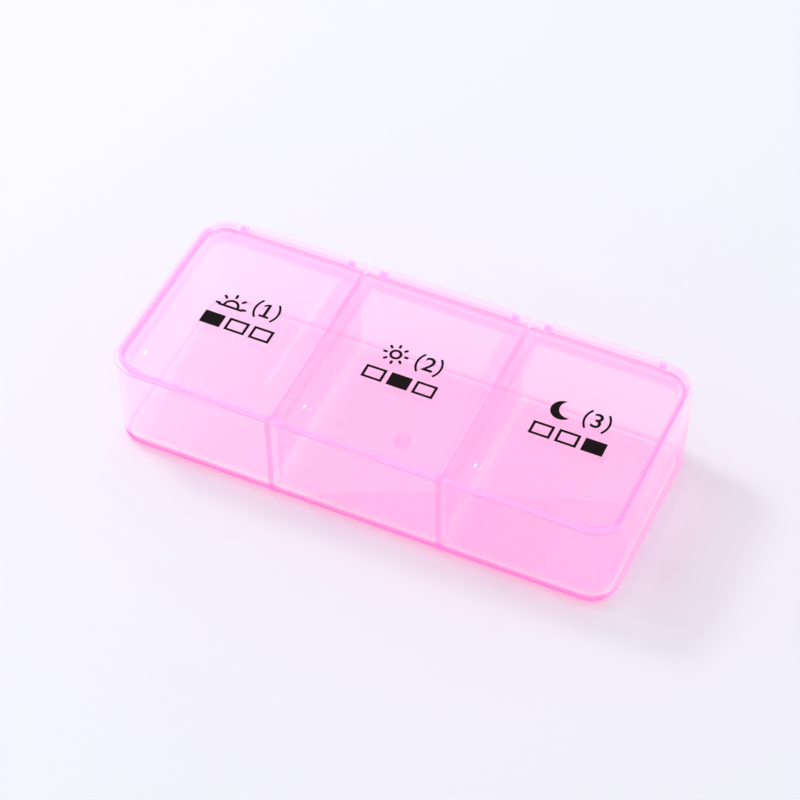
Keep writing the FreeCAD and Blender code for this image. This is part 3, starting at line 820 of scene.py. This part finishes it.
class PILLBOX_OT_print_lids(bpy.types.Operator):
    """Print a sign, a number and three boxes on each lid"""

    bl_idname = "pillbox.print_lids"
    bl_label = "Print the Lids"

    def execute(self, context):
        settings = context.scene.pillbox_print
        ink = print_ink(settings)
        for number, lid in enumerate(LIDS, start=1):
            piece = print_marks(lid, number, settings)
            piece.data.materials.append(ink)
            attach(piece, lid)
        return {"FINISHED"}


# The stage

FLOOR_HALF = 2.0
PAPER_ROUGHNESS = 0.9
LAMP_DISTANCE = 1.0
KEY_SIDE = (-0.64, 0.19, 0.75)
EDGE_SIDE = (0.74, 0.61, 0.28)
GLINT_SIDE = (-0.98, -0.10, 0.10)
SENSOR_WIDTH = 36.0
NEAREST_SEEN = 10.0 * MM


class PILLBOX_OT_set_stage(bpy.types.Operator):
    """Make the floor, the lamps and the camera"""

    bl_idname = "pillbox.set_stage"
    bl_label = "Set the Stage"

    def execute(self, context):
        settings = context.scene.pillbox_stage
        make_floor(settings)
        make_light(context.scene, settings)
        make_camera(context.scene, settings)
        context.scene.view_settings.view_transform = "Standard"
        return {"FINISHED"}


def make_floor(settings):
    """A plain sheet of pale paper under the part."""
    shape = bmesh.new()
    bmesh.ops.create_grid(shape, x_segments=1, y_segments=1, size=FLOOR_HALF)
    floor = add_piece("floor", shape)
    graph = Graph("floor_paper")
    paper = graph.add(
        "ShaderNodeBsdfPrincipled", {},
        {
            "Base Color": colour(settings.floor), "Roughness": PAPER_ROUGHNESS,
            "Specular IOR Level": 0.0,
        },
    )
    floor.data.materials.append(graph.finish(paper))


def make_lamp(scene, name, towards, size, power):
    """A round soft lamp that shines at the origin from the direction given."""
    lamp = bpy.data.lights.new(name, "AREA")
    lamp.shape = "DISK"
    lamp.size = size
    lamp.energy = power
    holder = bpy.data.objects.new(name, lamp)
    holder.location = Vector(towards).normalized() * LAMP_DISTANCE
    holder.rotation_euler = holder.location.to_track_quat("Z", "Y").to_euler()
    scene.collection.objects.link(holder)


def make_light(scene, settings):
    """An even white room and three lamps: key, edge and glint."""
    world = bpy.data.worlds.new("studio")
    world.use_nodes = True
    room = world.node_tree.nodes["Background"]
    room.inputs["Color"].default_value = WHITE
    room.inputs["Strength"].default_value = settings.room_light
    scene.world = world
    make_lamp(scene, "key_lamp", KEY_SIDE, settings.key_size, settings.key_power)
    make_lamp(scene, "edge_lamp", EDGE_SIDE, settings.edge_size, settings.edge_power)
    make_lamp(scene, "glint_lamp", GLINT_SIDE, settings.glint_size, settings.glint_power)


def make_camera(scene, settings):
    """A long lens that looks at the aim from the front right and above."""
    lens = bpy.data.cameras.new("photo_camera")
    lens.lens = settings.lens
    lens.sensor_width = SENSOR_WIDTH
    lens.clip_start = NEAREST_SEEN
    camera = bpy.data.objects.new("photo_camera", lens)
    back = Vector((
        math.sin(settings.yaw) * math.cos(settings.pitch),
        -math.cos(settings.yaw) * math.cos(settings.pitch),
        math.sin(settings.pitch),
    ))
    camera.location = Vector(settings.aim) + back * settings.distance
    camera.rotation_euler = back.to_track_quat("Z", "Y").to_euler()
    scene.collection.objects.link(camera)
    scene.camera = camera


# The add-on

OPERATORS = (PILLBOX_OT_finish_plastic, PILLBOX_OT_print_lids, PILLBOX_OT_set_stage)
GROUPS = {
    "pillbox_plastic": PlasticSettings,
    "pillbox_print": PrintSettings,
    "pillbox_stage": StageSettings,
}


class PILLBOX_PT_panel(bpy.types.Panel):
    """Lists the settings and the steps of the pill organizer"""

    bl_idname = "PILLBOX_PT_panel"
    bl_label = "Pill Organizer"
    bl_space_type = "VIEW_3D"
    bl_region_type = "UI"
    bl_category = "Pill Organizer"

    def draw(self, context):
        layout = self.layout
        for operator, name in zip(OPERATORS, GROUPS):
            layout.operator(operator.bl_idname)
            settings = getattr(context.scene, name)
            for field in GROUPS[name].__annotations__:
                layout.prop(settings, field)


CLASSES = tuple(GROUPS.values()) + OPERATORS + (PILLBOX_PT_panel,)


def register():
    for item in CLASSES:
        bpy.utils.register_class(item)
    for name, group in GROUPS.items():
        setattr(bpy.types.Scene, name, bpy.props.PointerProperty(type=group))


def unregister():
    for name in GROUPS:
        delattr(bpy.types.Scene, name)
    for item in reversed(CLASSES):
        bpy.utils.unregister_class(item)


def main():
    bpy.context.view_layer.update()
    register()
    bpy.ops.pillbox.finish_plastic()
    bpy.ops.pillbox.print_lids()
    bpy.ops.pillbox.set_stage()


if __name__ == "__main__":
    main()
